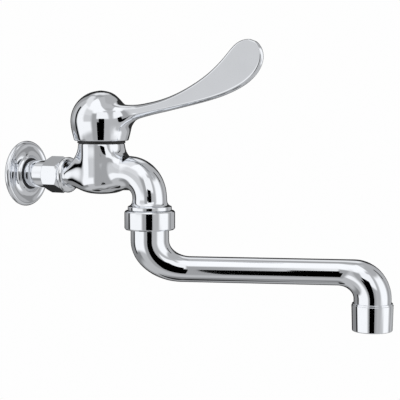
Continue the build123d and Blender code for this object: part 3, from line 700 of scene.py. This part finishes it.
class FAUCET_OT_spout(bpy.types.Operator):
    """Sweeps the S-shaped swivel spout ring by ring, wide at the legs and slim along the arm"""

    bl_idname = "faucet.spout"
    bl_label = "Spout"

    def execute(self, context):
        sizes = context.scene.faucet_sizes
        reach = sizes.spout_reach / MM
        leg, arm, mouth = (getattr(sizes, key) / MM for key in ("leg_radius", "arm_radius", "mouth_radius"))
        # Heights of the arm's axis and of the two bends' ends at the legs, then the rings of the bends
        arm_z, first_top, second_bottom, steps = -71.3, -49.1, -91.4, 26
        first_bend = bend_rings(leg, arm, 25.4, 32.3, first_top - arm_z, steps)
        second_bend = bend_rings(mouth, arm, 13.9, 26.8, arm_z - second_bottom, steps)
        lift, corner = Vector((0, first_top)), Vector((reach, second_bottom))
        rings = [(Vector((-leg, z)), Vector((leg, z))) for z in (-32.8, -44.0)]
        rings += [(low + lift, high + lift) for low, high in first_bend]
        rings += [(corner - high, corner - low) for low, high in reversed(second_bend)]
        rings += [(Vector((reach - mouth, z)), Vector((reach + mouth, z))) for z in (-94.0, -101.0)]

        spout = start_ring("spout_swivel_tube", TURN_STEPS, leg * MM, (0, 0, rings[0][0].y * MM))
        bpy.ops.mesh.fill()
        for (low, high), (next_low, next_high) in zip(rings, rings[1:]):
            here, there = (low + high) / 2, (next_low + next_high) / 2
            old, new = high - low, next_high - next_low
            turn = math.atan2(old.y, old.x) - math.atan2(new.y, new.x)
            scale = new.length / old.length
            centre = (there.x * MM, 0, there.y * MM)
            shift = ((there.x - here.x) * MM, 0, (there.y - here.y) * MM)
            move_ring(shift, turn, centre, (scale, scale, scale))
        bpy.ops.mesh.select_all(action="SELECT")
        bpy.ops.transform.rotate(value=-sizes.spout_heading, orient_axis="Z", orient_type="GLOBAL",
                                 center_override=(0, 0, 0))
        bpy.ops.transform.translate(value=(OUTLET_X, 0, 0))
        tidy_surface()
        smooth(spout, math.radians(50))
        finish_piece(spout, "spout", "chrome_plate", "spout_tube")
        return {"FINISHED"}


class FAUCET_OT_aerator(bpy.types.Operator):
    """Turns the aerator's housing with its stepped top and rounded lip"""

    bl_idname = "faucet.aerator"
    bl_label = "Aerator housing"

    def execute(self, context):
        sizes = context.scene.faucet_sizes
        heading = sizes.spout_heading
        mouth = (OUTLET_X + sizes.spout_reach * math.cos(heading), sizes.spout_reach * math.sin(heading), 0)
        housing = turned("aerator_housing_shell", rounded(
            (14.6, -98, 0), (14.6, -94.5, 0.2), (15.6, -94.5, 0.3), (15.6, -95.8, 0.15), (16.1, -95.8, 0.3),
            (15.5, -116, 0.8), (11.5, -116, 0.4), (11.5, -114.5, 0), (14, -114.5, 0), (14, -98, 0),
            (14.6, -98, 0)), at=mouth)
        smooth(housing, math.radians(40))
        finish_piece(housing, "spout", "chrome_plate", "aerator_housing")
        return {"FINISHED"}


class FAUCET_OT_lever(bpy.types.Operator):
    """Models the domed cap and pulls the wing lever out of its side"""

    bl_idname = "faucet.lever"
    bl_label = "Lever handle"

    # Pairs of points on the lever's top and lower edge from the valve axis, with the blade's thickness
    STATIONS = (
        ((31.5, 57.4), (33.6, 44.6), 12.0),
        ((36.5, 57.7), (39.0, 45.9), 11.0),
        ((45.7, 59.1), (49.0, 48.6), 9.6),
        ((58.1, 61.5), (62.3, 51.2), 8.4),
        ((72.3, 66.3), (80.0, 55.2), 7.3),
        ((86.6, 73.2), (96.0, 58.7), 6.5),
        ((97.3, 79.6), (110.0, 62.4), 6.0),
        ((105.2, 85.7), (122.4, 66.9), 5.7),
        ((111.6, 91.5), (134.0, 72.7), 5.5),
        ((116.6, 96.8), (142.6, 80.4), 5.4),
        ((121.0, 101.5), (146.9, 88.8), 5.2),
        ((125.8, 104.6), (146.9, 95.4), 5.0),
        ((130.4, 105.9), (144.7, 100.3), 4.8),
        ((134.4, 106.1), (141.4, 103.7), 4.5),
    )
    # Heights of the cap's rings that the blade grows from
    ROWS = (39.0, 43.5, 48.0, 52.5, 57.0)

    def execute(self, context):
        lever = self.cap()
        self.blade(lever)
        tidy_surface()
        subdivided(lever)
        finish_piece(lever, "lever", "chrome_plate", "lever_handle")
        return {"FINISHED"}

    def cap(self):
        """The cap's rings, from the inside over the skirt's edge up to the crown."""
        ball_r, ball_z, crown_rise = 24.7, 44, 2.4
        rings = [(15.0, 38.0), (19.3, 37.0), (19.8, 34.5), (19.8, 29.2), (20.2, 28.5), (21.4, 28.5),
                 (21.75, 29.0), (22.3, 31.0), (23.2, 34.3)]
        rings += [(math.sqrt(ball_r ** 2 - (z - ball_z) ** 2), z) for z in self.ROWS]
        rings += [(17.2, 61.8), (10.4, 66.6)]
        rings = [(radius / RING_SHRINK, z) for radius, z in rings]
        axis = Vector((VALVE_X, 0, 0))
        first_r, first_z = rings[0]
        lever = start_ring("lever_cap_and_wing", CAGE_POINTS, first_r * MM,
                           axis + Vector((0, 0, first_z * MM)))
        bpy.ops.mesh.fill()
        stack_rings(rings, axis)
        move_ring((0, 0, crown_rise * MM))
        bpy.ops.mesh.merge(type="CENTER")
        # The crown is drawn back above the blade
        for low, high, pull in ((60, 63, 2.8), (56, 58, 2.6), (65, 68, 0.7)):
            shift_points(lever, lambda p: p.x > VALVE_X / MM + 6 and low < p.z < high, (-pull, 0, 0))
        return lever

    def blade(self, lever):
        """Extrudes a patch of the cap's side from station to station."""
        bpy.ops.mesh.select_all(action="DESELECT")
        bpy.ops.mesh.select_mode(type="FACE")
        mesh = bmesh.from_edit_mesh(lever.data)
        mesh.verts.layers.int.new("lower edge")
        for face in mesh.faces:
            place = face.calc_center_median() / MM - Vector((VALVE_X / MM, 0, 0))
            face.select = bool(place.x > 0 and abs(place.y) < 9.5 and place.xy.length > 17
                               and self.ROWS[0] < place.z < self.ROWS[-1])
        bmesh.update_edit_mesh(lever.data)
        bpy.ops.mesh.select_mode(type="VERT")
        # The patch is pulled out and flattened into the first upright section
        bpy.ops.mesh.extrude_region_move(TRANSFORM_OT_translate={"value": (6 * MM, 0, 0)})
        here = Vector((VALVE_X / MM + 30, 51.5))
        centre = (here.x * MM, 0, here.y * MM)
        bpy.ops.transform.resize(value=(0, 1, 1), center_override=centre)
        for index, (top, low, thickness) in enumerate(self.STATIONS):
            rise = Vector(top) - Vector(low)
            there = (Vector(top) + Vector(low)) / 2 + Vector((VALVE_X / MM, 0))
            shift = ((there.x - here.x) * MM, 0, (there.y - here.y) * MM)
            here = there
            if index:
                bpy.ops.mesh.extrude_region_move(TRANSFORM_OT_translate={"value": shift})
                turn_about_y(-lean, (here.x * MM, 0, here.y * MM))
            else:
                bpy.ops.transform.translate(value=shift)
            self.shape_section(lever, here, rise.length, thickness)
            lean = math.atan2(rise.x, rise.y)
            turn_about_y(lean, (here.x * MM, 0, here.y * MM))
        self.crease_lower_edge(lever)

    def crease_lower_edge(self, lever):
        """Keeps the edge between the blade's sides and its underside crisp."""
        bpy.ops.mesh.select_all(action="DESELECT")
        bpy.ops.mesh.select_mode(type="EDGE")
        mesh = bmesh.from_edit_mesh(lever.data)
        marks = mesh.verts.layers.int["lower edge"]
        for edge in mesh.edges:
            first, second = edge.verts
            if first[marks] == second[marks] == 1 and first.co.y * second.co.y > 0:
                edge.select = True
        bmesh.update_edit_mesh(lever.data)
        bpy.ops.transform.edge_crease(value=0.9)
        bpy.ops.mesh.select_mode(type="VERT")

    def shape_section(self, lever, here, height, thickness):
        """Sets the selected upright section: flat sides, a tight top edge and a slanting underside."""
        mesh = bmesh.from_edit_mesh(lever.data)
        marks = mesh.verts.layers.int["lower edge"]
        # Where the flat sides end, and the heights of the sides' rows and of the middle column's
        half = thickness / 2
        top, low = height / 2 - 0.3 * thickness, 0.4 * thickness - height / 2
        side_rows = (low, low + 0.25 * (top - low), (top + low) / 2, top - 0.5, top)
        middle_rows = (-height / 2 - 0.06 * thickness, low, 0, top, height / 2 + 0.1 * thickness)
        chosen = sorted((vertex for vertex in mesh.verts if vertex.select), key=lambda vertex: vertex.co.z)
        for side in (-1, 0, 1):
            column = [vertex for vertex in chosen if side == max(-1, min(1, round(vertex.co.y / MM)))]
            for row, (vertex, up) in enumerate(zip(column, side_rows if side else middle_rows)):
                vertex.co = Vector((here.x, side * half, here.y + up)) * MM
                vertex[marks] = int(side != 0 and row == 0)
        bmesh.update_edit_mesh(lever.data)


# Studio

def card_group():
    """A soft-edged patch of the studio, given by its direction and size in degrees."""
    group, source, result = node_group(
        "Studio card",
        [("Azimuth", "float", 0.0), ("Elevation", "float", 0.0), ("Centre", "float", 0.0),
         ("Half width", "float", 10.0), ("Low", "float", -90.0), ("High", "float", 90.0),
         ("Softness", "float", 4.0)],
        [("Mask", "float")],
    )
    link = group.links.new
    maths = partial(add_maths, group)

    def edge(distance):
        """One inside the patch and nought outside, with a smooth step at the edge that distance tells."""
        node = add_node(group, "ShaderNodeMapRange", {"interpolation_type": "SMOOTHSTEP"},
                        To_Min=1.0, To_Max=0.0)
        link(distance, node.inputs["Value"])
        link(maths("MULTIPLY", source.outputs["Softness"], -0.5), node.inputs["From Min"])
        link(maths("MULTIPLY", source.outputs["Softness"], 0.5), node.inputs["From Max"])
        return node.outputs["Result"]

    off_side = maths("ABSOLUTE", maths("SUBTRACT", source.outputs["Azimuth"], source.outputs["Centre"]))
    across = edge(maths("SUBTRACT", off_side, source.outputs["Half width"]))
    above = edge(maths("SUBTRACT", source.outputs["Elevation"], source.outputs["High"]))
    below = edge(maths("SUBTRACT", source.outputs["Low"], source.outputs["Elevation"]))
    link(maths("MULTIPLY", across, maths("MULTIPLY", above, below)), result.inputs["Mask"])
    return group


# Patches of the studio as seen from the faucet, later ones over earlier ones: mirrored left to right or not,
# then in degrees the middle's azimuth from the camera, half width, lowest and highest elevation and edge
# softness, then brightness
STUDIO_CARDS = (
    (True, 192, 63, -90, 85, 3, 0.4),
    (False, -112, 38, -41, -4, 14, 0.28),
    (False, 116, 73, -11, 72, 3, 0.49),
    (True, 232, 77, 47, 69, 14, 0.96),
    (True, 92, 79, -84, -67, 12, 0.5),
    (True, 95, 84, -90, -86, 3, 0.02),
    (False, -57, 41, -24, 78, 8, 1.1),
    (False, 64, 30, -30, 39, 12, 1.13),
    (False, -11, 45, 36, 90, 14, 1.15),
    (False, -50, 18, 4, 45, 14, 0.8),
    (False, 31, 15, -65, 55, 14, 0.53),
    (False, 47, 10, -27, -11, 14, 0.62),
    (False, -49, 16, -1, 21, 6, 0.71),
    (False, -9, 25, -45, 32, 12, 0.41),
    (False, -72, 56, -85, -72, 14, 0.24),
    (False, 8, 22, 9, 45, 6, 1.08),
    (False, -100, 45, 52, 80, 10, 0.9),
    (False, -136, 30, -82, -64, 4, 0.02),
    (True, 180, 30, -46, 40, 6, 0.03),
    (False, -106, 5, -28, 34, 3, 0.0),
    (False, 110, 4, -16, 24, 3, 0.33),
    (False, 110, 4, 24, 48, 3, 0.02),
)


class FAUCET_OT_studio(bpy.types.Operator):
    """Makes the pale floor, the studio light and the camera"""

    bl_idname = "faucet.studio"
    bl_label = "Studio and camera"

    def execute(self, context):
        self.floor()
        self.dark_flag()
        self.light(context.scene)
        self.camera(context.scene)
        context.scene.view_settings.view_transform = "Standard"
        return {"FINISHED"}

    def floor(self):
        """A pale glowing floor far below the faucet, which the chrome doesn't mirror."""
        clear_selection()
        size, depth = 8, 1.6
        bpy.ops.mesh.primitive_plane_add(size=size, location=(0, 0, -depth))
        floor = bpy.context.object
        floor.name = "studio_floor"
        floor.data.materials.append(plain_material(
            "Pale floor", Base_Color=(0.8, 0.8, 0.8, 1), Emission_Color=(1, 1, 1, 1), Emission_Strength=0.7))
        floor.visible_glossy = False

    def dark_flag(self):
        """A black board behind the camera, wider below, which draws the dark lines along the faucet."""
        clear_selection()
        bpy.ops.mesh.primitive_plane_add(size=1, location=(0, 0, 0), rotation=(math.pi / 2, 0, 0))
        bpy.ops.object.transform_apply(location=False, rotation=True, scale=False)
        flag = bpy.context.object
        flag.name = "studio_dark_flag"
        bpy.ops.object.mode_set(mode="EDIT")
        bpy.ops.mesh.select_all(action="SELECT")
        width, height, distance, off_axis = 0.38, 0.8, 1.0, 0.055
        rise, widening = 0.22, 0.13
        bpy.ops.transform.resize(value=(width, 1, height))
        bpy.ops.transform.translate(value=(off_axis, -distance, -height / 2))
        # The top edge goes up, then the left edge below it goes further left
        bpy.ops.mesh.select_mode(type="EDGE")
        select_points(flag, lambda p: p.z > -1)
        bpy.ops.mesh.extrude_region_move(TRANSFORM_OT_translate={"value": (0, 0, rise)})
        select_points(flag, lambda p: p.x < 0 and p.z < 1)
        bpy.ops.mesh.extrude_region_move(TRANSFORM_OT_translate={"value": (-widening, 0, 0)})
        bpy.ops.mesh.select_mode(type="VERT")
        bpy.ops.mesh.select_all(action="SELECT")
        bpy.ops.transform.rotate(value=-CAMERA_TURN, orient_axis="Z", orient_type="GLOBAL",
                                 center_override=(0, 0, 0))
        bpy.ops.transform.translate(value=(OUTLET_X, 0, 0))
        bpy.ops.object.mode_set(mode="OBJECT")
        flag.data.materials.append(plain_material(
            "Black board", Base_Color=(0, 0, 0, 1), Specular_IOR_Level=0))
        flag.visible_camera = False
        flag.visible_diffuse = False

    def light(self, scene):
        """A world of soft patches round the faucet, white where the camera looks past it."""
        group = card_group()
        world = bpy.data.worlds.new("Studio")
        world.use_nodes = True
        scene.world = world
        tree = world.node_tree
        link = tree.links.new
        coordinates = add_node(tree, "ShaderNodeTexCoord")
        turn = add_node(tree, "ShaderNodeVectorRotate", {"rotation_type": "Z_AXIS"}, Angle=-CAMERA_TURN)
        split = add_node(tree, "ShaderNodeSeparateXYZ")
        link(coordinates.outputs["Generated"], turn.inputs["Vector"])
        link(turn.outputs["Vector"], split.inputs["Vector"])

        maths = partial(add_maths, tree)
        behind = maths("MULTIPLY", split.outputs["Y"], -1.0)
        azimuth = maths("DEGREES", maths("ARCTAN2", split.outputs["X"], behind))
        elevation = maths("DEGREES", maths("ARCSINE", split.outputs["Z"]))
        off_side = maths("ABSOLUTE", azimuth)
        shade = STUDIO_SHADE
        for mirrored, centre, half_width, low, high, softness, brightness in STUDIO_CARDS:
            card = tree.nodes.new("ShaderNodeGroup")
            card.node_tree = group
            link(off_side if mirrored else azimuth, card.inputs["Azimuth"])
            link(elevation, card.inputs["Elevation"])
            for key, value in (("Centre", centre), ("Half width", half_width), ("Low", low), ("High", high),
                               ("Softness", softness)):
                card.inputs[key].default_value = value
            mix = add_node(tree, "ShaderNodeMix", {"data_type": "FLOAT"})
            link(card.outputs["Mask"], mix.inputs["Factor"])
            if isinstance(shade, float):
                mix.inputs["A"].default_value = shade
            else:
                link(shade, mix.inputs["A"])
            mix.inputs["B"].default_value = brightness
            shade = mix.outputs["Result"]
        path = add_node(tree, "ShaderNodeLightPath")
        seen = add_node(tree, "ShaderNodeMix", {"data_type": "FLOAT"}, B=BACKDROP)
        link(path.outputs["Is Camera Ray"], seen.inputs["Factor"])
        link(shade, seen.inputs["A"])
        background = tree.nodes["Background"]
        link(seen.outputs["Result"], background.inputs["Color"])

    def camera(self, scene):
        """The photograph's viewpoint, level with the cap and 31 degrees round from the front."""
        bpy.ops.object.camera_add(location=CAMERA_PLACE, rotation=(CAMERA_TILT, 0, CAMERA_TURN))
        camera = bpy.context.object
        camera.name = "photo_camera"
        camera.data.sensor_width = SENSOR_WIDTH
        camera.data.lens = SENSOR_WIDTH * FOCAL_PIXELS / PHOTO_PIXELS
        camera.data.clip_start = 0.01
        camera.data.clip_end = 20
        scene.camera = camera


class FAUCET_PT_sidebar(bpy.types.Panel):
    """Lists the faucet's pieces, sizes and finishes"""

    bl_idname = "FAUCET_PT_sidebar"
    bl_label = "Lever sink faucet"
    bl_space_type = "VIEW_3D"
    bl_region_type = "UI"
    bl_category = "Faucet"

    def draw(self, context):
        layout = self.layout
        for group in (context.scene.faucet_sizes, context.scene.faucet_finish):
            for key in group.__annotations__:
                layout.prop(group, key)
        for operator in OPERATORS:
            layout.operator(operator.bl_idname)


OPERATORS = (FAUCET_OT_finishes, FAUCET_OT_wall_flange, FAUCET_OT_inlet_extension, FAUCET_OT_body,
             FAUCET_OT_spout_nut, FAUCET_OT_spout, FAUCET_OT_aerator, FAUCET_OT_lever, FAUCET_OT_studio)
CLASSES = (FaucetSizes, FaucetFinish, *OPERATORS, FAUCET_PT_sidebar)


def register():
    for entry in CLASSES:
        bpy.utils.register_class(entry)
    bpy.types.Scene.faucet_sizes = bpy.props.PointerProperty(type=FaucetSizes)
    bpy.types.Scene.faucet_finish = bpy.props.PointerProperty(type=FaucetFinish)


def unregister():
    del bpy.types.Scene.faucet_finish
    del bpy.types.Scene.faucet_sizes
    for entry in reversed(CLASSES):
        bpy.utils.unregister_class(entry)


def main():
    register()
    for operator in OPERATORS:
        family, name = operator.bl_idname.split(".")
        getattr(getattr(bpy.ops, family), name)()
    clear_selection()


if __name__ == "__main__":
    main()
